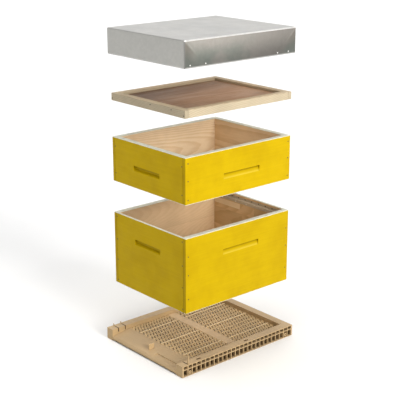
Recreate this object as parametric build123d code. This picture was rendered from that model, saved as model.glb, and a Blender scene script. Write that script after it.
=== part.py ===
from build123d import *

import os

# A ten-frame hive with its five levels lifted apart: floor, brood box, honey
# super, inner cover and roof.  Sizes are in millimetres.  X runs across the
# hive, Y from the entrance (-Y) to the back, and Z is up.  The origin is under
# the middle of the floor, on the surface that it stands on.

# ---- Driving dimensions ----------------------------------------------------

# Boxes
HIVE_WIDTH = 413.0
HIVE_LENGTH = 505.0
BOARD = 22.0                  # thickness of the box walls
TONGUE = 14.0                 # what is left of a long wall where it laps a short one
BROOD_HEIGHT = 281.0
SUPER_HEIGHT = 168.0

# Frame rests, cut along the top inner edge of the brood box's short walls
REST_WIDTH = 14.0
REST_DEPTH = 18.0

# Finger grips, cut from a square ledge at the top to nothing at the bottom
SIDE_GRIP_LENGTH = 172.0
SIDE_GRIP_HEIGHT = 23.0
SIDE_GRIP_DEPTH = 10.0
SIDE_GRIP_OFFSET = 10.0       # the routed grips sit a little to one side
END_GRIP_LENGTH = 146.0
END_GRIP_HEIGHT = 19.0
END_GRIP_BACK = 12.0          # height of the upright back of the end grips
END_GRIP_DEPTH = 9.0
END_GRIP_OFFSET = -8.0
BROOD_GRIP_LEVEL = 202.0      # underside of the ledge above the box's lower edge
SUPER_GRIP_LEVEL = 82.0

# Wire nails of the box corners: shares of the wall's height, from the top
END_NAIL_INSET = 18.0         # from the corner, on the short walls
SIDE_NAIL_INSET = 12.0        # from the corner, on the long walls
BROOD_END_NAILS = (0.055, 0.37, 0.66, 0.95)
BROOD_SIDE_NAILS = (0.245, 0.49, 0.81)
SUPER_END_NAILS = (0.20, 0.80)
SUPER_SIDE_NAILS = (0.13, 0.50, 0.90)
NAIL_HEAD_RADIUS = 2.3
NAIL_HEAD_THICKNESS = 1.0
NAIL_PROUD = 0.3
NAIL_SHANK_RADIUS = 1.2
NAIL_LENGTH = 40.0

# Notched metal runners on the brood box's frame rests
FRAME_COUNT = 10
FRAME_PITCH = 37.3
SHEET = 1.0
RUNNER_END_GAP = 1.0
RUNNER_UPRIGHT_SETBACK = 11.0 # from the wall's inner face to the upright leg
RUNNER_UPRIGHT_TOP = 8.0      # below the box's top edge
RUNNER_LIP = 11.0
NOTCH_WIDTH = 6.0
NOTCH_HEIGHT = 4.0
NOTCH_TOP = 10.0              # below the box's top edge
RUNNER_NAIL_POSITIONS = (-135.0, 0.0, 58.0, 135.0)
RUNNER_NAIL_LENGTH = 11.0

# Inner cover
INNER_HEIGHT = 28.0
INNER_RAIL = 28.0
INNER_LAP = 17.0              # thickness of a short rail where it covers a long one
PANEL = 4.0
PANEL_RECESS = 10.0
PANEL_GROOVE = 6.0
INNER_NAIL_POSITIONS = (20.0, 134.0)
INNER_NAIL_LEVEL = 20.0
INNER_CORNER_NAIL_LEVEL = 9.0
CORNER_ROUNDING = 2.0

# Roof
ROOF_HEIGHT = 93.0
ROOF_CLEARANCE = 1.5          # between the rims and the boxes that they slip over
ROOF_RIM = 5.0
ROOF_BOARD = 9.0
STEEL = 0.8
STEEL_BEND = 3.0              # outside radius of the folded edges
TAB_WIDTH = 11.0
TAB_TOP_GAP = 4.0
ROOF_NAIL_LEVEL = 9.0
ROOF_NAIL_POSITIONS = (-236.0, -168.0, 168.0, 222.0)
ROOF_NAIL_LENGTH = 5.5

# Floor
FLOOR_WIDTH = 452.0
FLOOR_LENGTH = 556.0
FLOOR_HEIGHT = 44.0
HIVE_SETBACK = 8.0            # the boxes stand this far behind the floor's middle
RAIL_WIDTH = 34.0
REAR_RAIL_WIDTH = 32.0
DECK_DEPTH = 83.0
DECK_FRONT_LEVEL = 18.0
DECK_EDGE_LEVEL = 12.0
DECK_EDGE_DEPTH = 8.0
DECK_CLEARANCE = 5.0          # under the skirt along the deck's front
DECK_THICKNESS = 4.0
DECK_ROUNDING = 4.0
SCREEN_LEVEL = 28.0
SCREEN_THICKNESS = 3.0
CROSSBAR_START = 272.0        # from the floor's front edge
CROSSBAR_WIDTH = 38.0
CROSSBAR_HEIGHT = 9.0
CROSSBAR_RISE = 1.0           # above the screens
RIB_POSITIONS = (-128.0, 0.0, 128.0)
RIB_WIDTH = 3.0
RIB_HEIGHT = 2.0
SLOT_COLUMNS = 14
SLOT_COLUMN_PITCH = 25.6      # five columns of slots between two ribs
SLOT_ROW_PITCH = 13.2
SLOT_ROW_MARGIN = 8.0         # at least, from the last row's middle to the panel's edge
SLOT_WIDTH = 3.6              # along the hive
SLOT_LENGTH = 19.0            # across the hive
END_SLOT_LENGTH = 7.0         # the short slots beside the side rails
POCKET_COUNT = 26
POCKET_WEB = 3.0
POCKET_DEPTH = 29.0
POCKET_END = 6.0
POCKET_ROWS = ((3.5, 26.5), (29.5, 41.0))
BOSS_INSET = 36.0
BOSS_LEVEL = 13.0
BOSS_RADIUS = 6.0
BOSS_HOLE_RADIUS = 3.0
BOSS_HOLE_DEPTH = 26.0
FOOT_ROUNDING = 3.0
MARK_STARTS = (-200.0, 35.0)  # shallow dents in the right-hand rail's top
MARK_SPAN_X = (206.5, 214.5)
MARK_LENGTH = 20.0
MARK_DEPTH = 2.0
PEG_HOLE_X = 186.0
PEG_HOLE_INSET = 24.0         # from the floor's back edge
PEG_HOLE_RADIUS = 2.5
PEG_HOLE_DEPTH = 2.0
FIN_LENGTH = 24.0
FIN_THICKNESS = 4.0
FIN_INSET = 26.0
RECESS_SPAN = (44.0, 167.0)
RECESS_INSET = 13.0
RECESS_DEPTH_Y = 20.0
RECESS_LEVEL = 18.0
GATE_SLOT = 3.2
GATE_SLOT_INSET = 29.0
SECOND_SLOT_INSET = 62.0
GUIDE_THICKNESS = 2.6
LEFT_GUIDE_SPAN = 7.0
LEFT_GUIDE_HIGH = 9.0
LEFT_GUIDE_LOW = 3.0
RIGHT_GUIDE_SPAN = 5.0
RIGHT_GUIDE_HEIGHT = 31.0
GUIDE_EDGE_GAP = 2.0

# How far each level is lifted clear of the one below it
BROOD_LIFT = 187.0
SUPER_LIFT = 120.0
INNER_LIFT = 134.0
ROOF_GAP = 141.0              # from the inner cover's top to the roof's lower edge

# Modelling
OVERCUT = 1.0                 # how far a cutting shape runs past the face it cuts
SAME_PLACE = 0.01             # edges closer than this to a point count as through it

# ---- Worked-out places -----------------------------------------------------

HALF_WIDTH = HIVE_WIDTH / 2
FRONT = HIVE_SETBACK - HIVE_LENGTH / 2
BACK = HIVE_SETBACK + HIVE_LENGTH / 2
FLOOR_FRONT = -FLOOR_LENGTH / 2
FLOOR_SIDE = FLOOR_WIDTH / 2
RAIL_INNER = FLOOR_SIDE - RAIL_WIDTH
REAR_RAIL_INNER = FLOOR_LENGTH / 2 - REAR_RAIL_WIDTH
DECK_BACK = FLOOR_FRONT + DECK_DEPTH
CROSSBAR_FRONT = FLOOR_FRONT + CROSSBAR_START
CROSSBAR_BACK = CROSSBAR_FRONT + CROSSBAR_WIDTH

BROOD_BASE = FLOOR_HEIGHT + BROOD_LIFT
SUPER_BASE = BROOD_BASE + BROOD_HEIGHT + SUPER_LIFT
INNER_BASE = SUPER_BASE + SUPER_HEIGHT + INNER_LIFT
ROOF_BASE = INNER_BASE + INNER_HEIGHT + ROOF_GAP

HIVE_AXIS = Axis((0, HIVE_SETBACK, 0), (0, 0, 1))


# ---- Helpers ---------------------------------------------------------------

def block(x, y, z):
    """A box between the low and high values given for each axis."""
    low = Pos(x[0], y[0], z[0])
    return low * Box(x[1] - x[0], y[1] - y[0], z[1] - z[0], align=(Align.MIN,) * 3)


def turned(part):
    """The same part, turned half a turn about the hive's upright axis."""
    return part.rotate(HIVE_AXIS, 180)


def prism_along_x(points, x):
    """An outline in Y and Z, carried along X from x[0] to x[1]."""
    outline = Plane.YZ * make_face(Polyline(*points, close=True))
    return Pos(x[0], 0, 0) * extrude(outline, x[1] - x[0])


def prism_along_y(points, y):
    """An outline in X and Z, carried along Y from y[0] to y[1]."""
    outline = Plane.XZ * make_face(Polyline(*points, close=True))
    return Pos(0, y[1], 0) * extrude(outline, y[1] - y[0])


def nail(point, direction, length=NAIL_LENGTH):
    """A wire nail whose head shows at point, driven in along direction."""
    head = Cylinder(
        NAIL_HEAD_RADIUS, NAIL_HEAD_THICKNESS, align=(Align.CENTER, Align.CENTER, Align.MIN)
    )
    shank = Cylinder(
        NAIL_SHANK_RADIUS, length, align=(Align.CENTER, Align.CENTER, Align.MIN)
    )
    seat = Plane(origin=point, z_dir=direction)
    return seat * (Pos(0, 0, -NAIL_PROUD) * (head + shank))


def upright_edges(part, x, y):
    """The part's upright edges that pass through the given X and Y."""
    return [
        edge
        for edge in part.edges().filter_by(Axis.Z)
        if abs(edge.center().X - x) < SAME_PLACE and abs(edge.center().Y - y) < SAME_PLACE
    ]


def level_edges(part, y, z):
    """The part's edges along X that pass through the given Y and Z."""
    return [
        edge
        for edge in part.edges().filter_by(Axis.X)
        if abs(edge.center().Y - y) < SAME_PLACE and abs(edge.center().Z - z) < SAME_PLACE
    ]


# ---- Boxes -----------------------------------------------------------------

def long_wall(base, height, grip_level):
    """The right-hand wall of a box, with a lap at each end and a finger grip."""
    inner = HALF_WIDTH - BOARD
    shoulder = HALF_WIDTH - TONGUE
    levels = (base, base + height)
    wall = block((inner, HALF_WIDTH), (FRONT, BACK), levels)
    wall -= block((inner, shoulder), (FRONT, FRONT + BOARD), levels)
    wall -= block((inner, shoulder), (BACK - BOARD, BACK), levels)
    ledge = base + grip_level
    grip_outline = [
        (HALF_WIDTH - SIDE_GRIP_DEPTH, ledge),
        (HALF_WIDTH + OVERCUT, ledge),
        (HALF_WIDTH + OVERCUT, ledge - SIDE_GRIP_HEIGHT),
        (HALF_WIDTH, ledge - SIDE_GRIP_HEIGHT),
    ]
    middle = HIVE_SETBACK + SIDE_GRIP_OFFSET
    half = SIDE_GRIP_LENGTH / 2
    return wall - prism_along_y(grip_outline, (middle - half, middle + half))


def frame_rest(top):
    """The space of the step along the inside of a front wall's top edge."""
    half = HALF_WIDTH - BOARD
    inner = FRONT + BOARD
    return block((-half, half), (inner - REST_WIDTH, inner), (top - REST_DEPTH, top))


def short_wall(base, height, grip_level):
    """The front wall of a box, with a finger grip."""
    half = HALF_WIDTH - TONGUE
    wall = block((-half, half), (FRONT, FRONT + BOARD), (base, base + height))
    ledge = base + grip_level
    grip_outline = [
        (FRONT - OVERCUT, ledge),
        (FRONT + END_GRIP_DEPTH, ledge),
        (FRONT + END_GRIP_DEPTH, ledge - END_GRIP_BACK),
        (FRONT, ledge - END_GRIP_HEIGHT),
        (FRONT - OVERCUT, ledge - END_GRIP_HEIGHT),
    ]
    grip_half = END_GRIP_LENGTH / 2
    grip_span = (END_GRIP_OFFSET - grip_half, END_GRIP_OFFSET + grip_half)
    return wall - prism_along_x(grip_outline, grip_span)


def corner_nails(base, height, end_shares, side_shares):
    """All the nails that hold a box's four corners together."""
    nails = []
    end_x = HALF_WIDTH - END_NAIL_INSET
    for share in end_shares:
        level = base + height * (1 - share)
        nails += [nail((x, FRONT, level), (0, 1, 0)) for x in (-end_x, end_x)]
    for share in side_shares:
        level = base + height * (1 - share)
        for y in (FRONT + SIDE_NAIL_INSET, BACK - SIDE_NAIL_INSET):
            nails.append(nail((HALF_WIDTH, y, level), (-1, 0, 0)))
    nails += [turned(one) for one in nails]
    return Compound(nails)


def box_parts(name, base, height, grip_level, end_shares, side_shares, stepped):
    """The four walls and the nails of one box; a stepped box has frame rests."""
    right = long_wall(base, height, grip_level)
    front = short_wall(base, height, grip_level)
    if stepped:
        front -= frame_rest(base + height)
    return {
        f"{name}_right_wall": right,
        f"{name}_left_wall": turned(right),
        f"{name}_front_wall": front,
        f"{name}_rear_wall": turned(front),
        f"{name}_wall_nails": corner_nails(base, height, end_shares, side_shares),
    }


# ---- Frame runners of the brood box ----------------------------------------

def frame_runner():
    """The bent, notched metal runner on the front frame rest."""
    top = BROOD_BASE + BROOD_HEIGHT
    seat = top - REST_DEPTH
    face = FRONT + BOARD
    upright = face - RUNNER_UPRIGHT_SETBACK
    profile = [
        (upright - SHEET, seat),
        (face, seat),
        (face, seat + SHEET - RUNNER_LIP),
        (face + SHEET, seat + SHEET - RUNNER_LIP),
        (face + SHEET, seat + SHEET),
        (upright, seat + SHEET),
        (upright, top - RUNNER_UPRIGHT_TOP),
        (upright - SHEET, top - RUNNER_UPRIGHT_TOP),
    ]
    half = HALF_WIDTH - BOARD - RUNNER_END_GAP
    runner = prism_along_x(profile, (-half, half))
    for index in range(FRAME_COUNT):
        x = (index - (FRAME_COUNT - 1) / 2) * FRAME_PITCH
        runner -= block(
            (x - NOTCH_WIDTH / 2, x + NOTCH_WIDTH / 2),
            (upright - SHEET - OVERCUT, upright + OVERCUT),
            (top - NOTCH_TOP - NOTCH_HEIGHT, top - NOTCH_TOP),
        )
    return runner


def runner_nails():
    """The nails through both runners' lips."""
    level = BROOD_BASE + BROOD_HEIGHT - REST_DEPTH - RUNNER_LIP / 2
    y = FRONT + BOARD + SHEET
    front = [
        nail((x, y, level), (0, -1, 0), RUNNER_NAIL_LENGTH) for x in RUNNER_NAIL_POSITIONS
    ]
    return Compound(front + [turned(one) for one in front])


# ---- Inner cover -----------------------------------------------------------

def panel_levels():
    """The lower and upper face of the inner cover's panel."""
    upper = INNER_BASE + INNER_HEIGHT - PANEL_RECESS
    return (upper - PANEL, upper)


def inner_panel():
    """The thin panel that sits in a groove of the four rails."""
    half = HALF_WIDTH - INNER_RAIL + PANEL_GROOVE
    inset = INNER_RAIL - PANEL_GROOVE
    return block((-half, half), (FRONT + inset, BACK - inset), panel_levels())


def inner_front_rail(panel):
    """The front rail, which covers the ends of the side rails."""
    levels = (INNER_BASE, INNER_BASE + INNER_HEIGHT)
    lap = HALF_WIDTH - INNER_RAIL / 2
    rail = block((-HALF_WIDTH, HALF_WIDTH), (FRONT, FRONT + INNER_LAP), levels)
    rail += block((-lap, lap), (FRONT + INNER_LAP, FRONT + INNER_RAIL), levels)
    corners = upright_edges(rail, -HALF_WIDTH, FRONT) + upright_edges(rail, HALF_WIDTH, FRONT)
    return fillet(corners, CORNER_ROUNDING) - panel


def inner_right_rail(panel):
    """The right-hand rail, with a tongue at each end that laps the short rails."""
    levels = (INNER_BASE, INNER_BASE + INNER_HEIGHT)
    inner = HALF_WIDTH - INNER_RAIL
    lap = HALF_WIDTH - INNER_RAIL / 2
    rail = block((inner, HALF_WIDTH), (FRONT + INNER_RAIL, BACK - INNER_RAIL), levels)
    rail += block((lap, HALF_WIDTH), (FRONT + INNER_LAP, BACK - INNER_LAP), levels)
    return rail - panel


def inner_nails():
    """The nails through the short rails."""
    level = INNER_BASE + INNER_NAIL_LEVEL
    nails = [nail((x, FRONT, level), (0, 1, 0), INNER_LAP) for x in INNER_NAIL_POSITIONS]
    corner_x = HALF_WIDTH - INNER_RAIL / 4
    corner_level = INNER_BASE + INNER_CORNER_NAIL_LEVEL
    for x in (-corner_x, corner_x):
        nails.append(nail((x, FRONT, corner_level), (0, 1, 0)))
    return Compound(nails + [turned(one) for one in nails])


def inner_cover_parts():
    """The inner cover's four rails, its panel and its nails."""
    panel = inner_panel()
    front = inner_front_rail(panel)
    right = inner_right_rail(panel)
    return {
        "inner_panel": panel,
        "inner_front_rail": front,
        "inner_rear_rail": turned(front),
        "inner_right_rail": right,
        "inner_left_rail": turned(right),
        "inner_nails": inner_nails(),
    }


# ---- Roof ------------------------------------------------------------------

def roof_half_sizes(layer):
    """Half of the roof's width and length at a distance inside its steel skin."""
    outside = ROOF_CLEARANCE + ROOF_RIM + STEEL
    return (HALF_WIDTH + outside - layer, HIVE_LENGTH / 2 + outside - layer)


def rounded_cap(layer, radius):
    """A block of the roof's outside, shrunk by layer, with its bends rounded."""
    half_x, half_y = roof_half_sizes(layer)
    top = ROOF_BASE + ROOF_HEIGHT - layer
    bottom = ROOF_BASE - OVERCUT if layer else ROOF_BASE
    cap = block(
        (-half_x, half_x), (HIVE_SETBACK - half_y, HIVE_SETBACK + half_y), (bottom, top)
    )
    upright = cap.edges().filter_by(Axis.Z)
    upper = cap.faces().sort_by(Axis.Z)[-1].edges()
    return fillet(list(upright) + list(upper), radius)


def roof_skin():
    """The folded steel skin, with a lapped tab at both ends of each long side."""
    skin = rounded_cap(0, STEEL_BEND) - rounded_cap(STEEL, STEEL_BEND - STEEL)
    half_x, half_y = roof_half_sizes(0)
    tab_end = HIVE_SETBACK - half_y + STEEL_BEND
    tab_top = ROOF_BASE + ROOF_HEIGHT - TAB_TOP_GAP
    tab_outline = [
        (tab_end, ROOF_BASE),
        (tab_end + TAB_WIDTH, ROOF_BASE),
        (tab_end + TAB_WIDTH, tab_top - TAB_WIDTH),
        (tab_end, tab_top),
    ]
    near_tab = prism_along_x(tab_outline, (half_x, half_x + STEEL))
    far_tab = near_tab.mirror(Plane.XZ.offset(-HIVE_SETBACK))
    tabs = [near_tab, far_tab]
    for tab in tabs + [turned(one) for one in tabs]:
        skin += tab
    return skin


def roof_board():
    """The flat board under the steel top."""
    half_x, half_y = roof_half_sizes(STEEL)
    top = ROOF_BASE + ROOF_HEIGHT - STEEL
    board = block(
        (-half_x, half_x),
        (HIVE_SETBACK - half_y, HIVE_SETBACK + half_y),
        (top - ROOF_BOARD, top),
    )
    board = fillet(board.edges().filter_by(Axis.Z), STEEL_BEND)
    return chamfer(board.faces().sort_by(Axis.Z)[-1].edges(), STEEL_BEND - STEEL)


def roof_rims():
    """The four rim boards, the long ones running the full length."""
    half_x, half_y = roof_half_sizes(STEEL)
    levels = (ROOF_BASE, ROOF_BASE + ROOF_HEIGHT - STEEL - ROOF_BOARD)
    front, back = HIVE_SETBACK - half_y, HIVE_SETBACK + half_y
    right = block((half_x - ROOF_RIM, half_x), (front, back), levels)
    ends = upright_edges(right, half_x, front) + upright_edges(right, half_x, back)
    right = fillet(ends, STEEL_BEND)
    inner = half_x - ROOF_RIM
    near = block((-inner, inner), (front, front + ROOF_RIM), levels)
    return {
        "roof_right_rim": right,
        "roof_left_rim": turned(right),
        "roof_front_rim": near,
        "roof_rear_rim": turned(near),
    }


def roof_nails():
    """The bright nails low on the long sides."""
    half_x = roof_half_sizes(0)[0]
    level = ROOF_BASE + ROOF_NAIL_LEVEL
    right = [
        nail((half_x, HIVE_SETBACK + y, level), (-1, 0, 0), ROOF_NAIL_LENGTH)
        for y in ROOF_NAIL_POSITIONS
    ]
    return Compound(right + [turned(one) for one in right])


# ---- Floor -----------------------------------------------------------------

def gate_slot(x, inset):
    """The space of an upright slot across a side rail, down to the screen level."""
    y = FLOOR_FRONT + inset
    return block(
        x, (y - GATE_SLOT / 2, y + GATE_SLOT / 2), (SCREEN_LEVEL, FLOOR_HEIGHT + OVERCUT)
    )


def side_rail():
    """The right-hand rail: solid top, inner wall and ends, cored out from outside."""
    rail = block(
        (RAIL_INNER, FLOOR_SIDE), (FLOOR_FRONT, -FLOOR_FRONT), (0, FLOOR_HEIGHT)
    )
    lower_edges = rail.edges().filter_by(Axis.Y).sort_by(Axis.Z)[:2]
    rail = fillet(lower_edges, FOOT_ROUNDING)
    pitch = (FLOOR_LENGTH - 2 * POCKET_END + POCKET_WEB) / POCKET_COUNT
    for index in range(POCKET_COUNT):
        start = FLOOR_FRONT + POCKET_END + index * pitch
        for low, high in POCKET_ROWS:
            rail -= block(
                (FLOOR_SIDE - POCKET_DEPTH, FLOOR_SIDE + OVERCUT),
                (start, start + pitch - POCKET_WEB),
                (low, high),
            )
    for y in (FLOOR_FRONT + BOSS_INSET, -FLOOR_FRONT - BOSS_INSET):
        place = Plane(origin=(FLOOR_SIDE, y, BOSS_LEVEL), z_dir=(-1, 0, 0))
        axis = (Align.CENTER, Align.CENTER, Align.MIN)
        rail += place * Cylinder(BOSS_RADIUS, POCKET_DEPTH + OVERCUT, align=axis)
        rail -= place * Cylinder(BOSS_HOLE_RADIUS, BOSS_HOLE_DEPTH, align=axis)
    return rail


def rear_rail():
    """The rail across the back, cored out from behind like the side rails."""
    back = FLOOR_LENGTH / 2
    rail = block((-RAIL_INNER, RAIL_INNER), (REAR_RAIL_INNER, back), (0, FLOOR_HEIGHT))
    count = round(POCKET_COUNT * RAIL_INNER / back)
    pitch = (2 * RAIL_INNER - POCKET_WEB) / count
    for index in range(count):
        start = POCKET_WEB - RAIL_INNER + index * pitch
        for low, high in POCKET_ROWS:
            rail -= block(
                (start, start + pitch - POCKET_WEB),
                (back - POCKET_DEPTH + POCKET_WEB, back + OVERCUT),
                (low, high),
            )
    for x in (-PEG_HOLE_X, PEG_HOLE_X):
        mouth = Plane(origin=(x, back - PEG_HOLE_INSET, FLOOR_HEIGHT), z_dir=(0, 0, -1))
        axis = (Align.CENTER, Align.CENTER, Align.MIN)
        rail -= mouth * Cylinder(PEG_HOLE_RADIUS, PEG_HOLE_DEPTH, align=axis)
    return rail


def deck():
    """The sloping landing deck with its front skirt and shallow recess."""
    slope_start = FLOOR_FRONT + DECK_EDGE_DEPTH
    profile = [
        (FLOOR_FRONT, DECK_CLEARANCE),
        (FLOOR_FRONT, DECK_EDGE_LEVEL),
        (slope_start, DECK_FRONT_LEVEL),
        (DECK_BACK, SCREEN_LEVEL),
        (DECK_BACK, SCREEN_LEVEL - DECK_THICKNESS),
        (slope_start, DECK_FRONT_LEVEL - DECK_THICKNESS),
        (FLOOR_FRONT + DECK_THICKNESS, DECK_EDGE_LEVEL - DECK_THICKNESS / 2),
        (FLOOR_FRONT + DECK_THICKNESS, DECK_CLEARANCE),
    ]
    plate = prism_along_x(profile, (-RAIL_INNER, RAIL_INNER))
    front_edges = level_edges(plate, FLOOR_FRONT, DECK_EDGE_LEVEL)
    front_edges += level_edges(plate, slope_start, DECK_FRONT_LEVEL)
    plate = fillet(front_edges, DECK_ROUNDING)
    recess_front = FLOOR_FRONT + RECESS_INSET
    return plate - block(
        RECESS_SPAN,
        (recess_front, recess_front + RECESS_DEPTH_Y),
        (RECESS_LEVEL, SCREEN_LEVEL),
    )


def deck_level(y):
    """The deck's surface level at a distance along the hive."""
    slope_start = FLOOR_FRONT + DECK_EDGE_DEPTH
    share = (y - slope_start) / (DECK_BACK - slope_start)
    return DECK_FRONT_LEVEL + share * (SCREEN_LEVEL - DECK_FRONT_LEVEL)


def entrance_fin():
    """The upright fin in the middle of the entrance, level with the rails."""
    front = FLOOR_FRONT + FIN_INSET
    outline = [
        (front, deck_level(front)),
        (front + FIN_LENGTH, deck_level(front + FIN_LENGTH)),
        (front + FIN_LENGTH, FLOOR_HEIGHT),
        (front, FLOOR_HEIGHT),
    ]
    return prism_along_x(outline, (-FIN_THICKNESS / 2, FIN_THICKNESS / 2))


def crossbar():
    """The flat bar between the two screen panels."""
    top = SCREEN_LEVEL + CROSSBAR_RISE
    return block(
        (-RAIL_INNER, RAIL_INNER),
        (CROSSBAR_FRONT, CROSSBAR_BACK),
        (top - CROSSBAR_HEIGHT, top),
    )


def slanted_slot(length):
    """A slot's outline: it slants forward to the right, in line with the next column's slots."""
    end = length / 2
    drop = end * SLOT_ROW_PITCH / SLOT_COLUMN_PITCH
    side = SLOT_WIDTH / 2
    return Polygon((-end, drop - side), (end, -drop - side), (end, side - drop), (-end, drop + side))


def screen_slots(front, back):
    """The outlines of a screen's slots, in rows across and columns along the hive."""
    row_count = int((back - front - 2 * SLOT_ROW_MARGIN) // SLOT_ROW_PITCH) + 1
    first_row = (front + back - (row_count - 1) * SLOT_ROW_PITCH) / 2
    outer = SLOT_COLUMNS * SLOT_COLUMN_PITCH / 2
    columns = [
        (SLOT_COLUMN_PITCH * (index + 0.5) - outer, SLOT_LENGTH) for index in range(SLOT_COLUMNS)
    ]
    columns += [(side * (outer + RAIL_INNER) / 2, END_SLOT_LENGTH) for side in (-1, 1)]
    return Sketch() + [
        Pos(x, first_row + row * SLOT_ROW_PITCH) * slanted_slot(length)
        for x, length in columns
        for row in range(row_count)
    ]


def screen_panel(front, back):
    """A slotted screen panel with three lengthwise ribs."""
    under = SCREEN_LEVEL - SCREEN_THICKNESS
    panel = block((-RAIL_INNER, RAIL_INNER), (front, back), (under, SCREEN_LEVEL))
    panel -= Pos(0, 0, under) * extrude(screen_slots(front, back), SCREEN_THICKNESS)
    for x in RIB_POSITIONS:
        panel += block(
            (x - RIB_WIDTH / 2, x + RIB_WIDTH / 2),
            (front, back),
            (SCREEN_LEVEL, SCREEN_LEVEL + RIB_HEIGHT),
        )
    return panel


def guide_span(inset):
    """The front and back of a gate guide that stands in the slot at that inset."""
    y = FLOOR_FRONT + inset
    return (y - GUIDE_THICKNESS / 2, y + GUIDE_THICKNESS / 2)


def gate_guides():
    """The thin upright guides at the outer ends of the side rails' slots."""
    outer = FLOOR_SIDE - GUIDE_EDGE_GAP
    ear_outline = [
        (-outer, SCREEN_LEVEL),
        (LEFT_GUIDE_SPAN - outer, SCREEN_LEVEL),
        (LEFT_GUIDE_SPAN - outer, FLOOR_HEIGHT + LEFT_GUIDE_LOW),
        (-outer, FLOOR_HEIGHT + LEFT_GUIDE_HIGH),
    ]
    return {
        "gate_guide_left": prism_along_y(ear_outline, guide_span(GATE_SLOT_INSET)),
        "gate_guide_left_rear": prism_along_y(ear_outline, guide_span(SECOND_SLOT_INSET)),
        "gate_guide_right": block(
            (outer - RIGHT_GUIDE_SPAN, outer),
            guide_span(GATE_SLOT_INSET),
            (SCREEN_LEVEL, FLOOR_HEIGHT + RIGHT_GUIDE_HEIGHT),
        ),
    }


def floor_parts():
    """Everything on the floor level."""
    rail = side_rail()
    slot_span = (RAIL_INNER - OVERCUT, FLOOR_SIDE - GUIDE_EDGE_GAP)
    right_rail = rail - gate_slot(slot_span, GATE_SLOT_INSET)
    for y in MARK_STARTS:
        right_rail -= block(
            MARK_SPAN_X, (y, y + MARK_LENGTH), (FLOOR_HEIGHT - MARK_DEPTH, FLOOR_HEIGHT)
        )
    left_rail = rail.mirror(Plane.YZ)
    left_span = (GUIDE_EDGE_GAP - FLOOR_SIDE, OVERCUT - RAIL_INNER)
    for inset in (GATE_SLOT_INSET, SECOND_SLOT_INSET):
        left_rail -= gate_slot(left_span, inset)
    return {
        "floor_right_rail": right_rail,
        "floor_left_rail": left_rail,
        "floor_rear_rail": rear_rail(),
        "floor_deck": deck(),
        "floor_crossbar": crossbar(),
        "floor_screen_front": screen_panel(DECK_BACK, CROSSBAR_FRONT),
        "floor_screen_rear": screen_panel(CROSSBAR_BACK, REAR_RAIL_INNER),
        "entrance_fin": entrance_fin(),
        **gate_guides(),
    }


# ---- The whole hive --------------------------------------------------------

def hive_parts():
    """Every node of the hive and its solid."""
    runner = frame_runner()
    return {
        **floor_parts(),
        **box_parts(
            "brood", BROOD_BASE, BROOD_HEIGHT, BROOD_GRIP_LEVEL,
            BROOD_END_NAILS, BROOD_SIDE_NAILS, stepped=True
        ),
        "brood_front_runner": runner,
        "brood_rear_runner": turned(runner),
        "brood_runner_nails": runner_nails(),
        **box_parts(
            "super", SUPER_BASE, SUPER_HEIGHT, SUPER_GRIP_LEVEL,
            SUPER_END_NAILS, SUPER_SIDE_NAILS, stepped=False
        ),
        **inner_cover_parts(),
        "roof_skin": roof_skin(),
        "roof_board": roof_board(),
        **roof_rims(),
        "roof_nails": roof_nails(),
    }


os.makedirs("parts", exist_ok=True)
for name, part in hive_parts().items():
    export_step(part, f"parts/{name}.step")
    print(name, len(part.solids()), "solids, valid:", part.is_valid)
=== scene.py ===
"""The opened-out beehive: finishes, fine edges, roof sheet, slotted screens, light and camera."""

import math

import bmesh
import bpy
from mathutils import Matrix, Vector


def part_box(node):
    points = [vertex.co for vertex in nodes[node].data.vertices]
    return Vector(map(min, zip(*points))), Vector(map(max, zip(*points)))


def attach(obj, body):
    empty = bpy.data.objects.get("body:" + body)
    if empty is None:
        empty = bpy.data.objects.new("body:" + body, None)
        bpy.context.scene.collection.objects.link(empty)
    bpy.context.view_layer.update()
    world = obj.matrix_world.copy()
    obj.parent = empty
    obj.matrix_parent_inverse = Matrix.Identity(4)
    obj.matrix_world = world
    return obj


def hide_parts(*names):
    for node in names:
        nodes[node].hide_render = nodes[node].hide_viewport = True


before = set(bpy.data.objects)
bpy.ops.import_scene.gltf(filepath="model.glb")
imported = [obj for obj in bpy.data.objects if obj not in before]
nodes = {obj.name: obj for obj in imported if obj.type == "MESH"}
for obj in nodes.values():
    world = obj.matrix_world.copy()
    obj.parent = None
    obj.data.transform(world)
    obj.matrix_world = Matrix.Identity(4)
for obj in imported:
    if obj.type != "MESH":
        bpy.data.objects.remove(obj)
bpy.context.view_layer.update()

MM = 0.001


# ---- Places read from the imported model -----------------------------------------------

def span(*names):
    """The lowest and highest corner of several nodes together."""
    boxes = [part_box(name) for name in names]
    low = Vector([min(b[0][i] for b in boxes) for i in range(3)])
    high = Vector([max(b[1][i] for b in boxes) for i in range(3)])
    return low, high


WALLS = ("right", "left", "front", "rear")
BROOD_LOW, BROOD_HIGH = span(*[f"brood_{w}_wall" for w in WALLS])
SUPER_LOW, SUPER_HIGH = span(*[f"super_{w}_wall" for w in WALLS])
ROOF_LOW, ROOF_HIGH = span("roof_board", "roof_right_rim", "roof_left_rim")
FLOOR_HIGH = span("floor_left_rail", "floor_right_rail")[1]
SCREEN_PLATE = 3 * MM
SCREEN_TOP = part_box("floor_screen_front")[0].z + SCREEN_PLATE
HIVE_Y = (BROOD_LOW.y + BROOD_HIGH.y) / 2
STEEL = 0.8 * MM              # the roof sheet's thickness
ROOF_HALF_WIDTH = ROOF_HIGH.x + STEEL
ROOF_HALF_LENGTH = (ROOF_HIGH.y - ROOF_LOW.y) / 2 + STEEL


# ---- Node helpers --------------------------------------------------------------------

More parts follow.
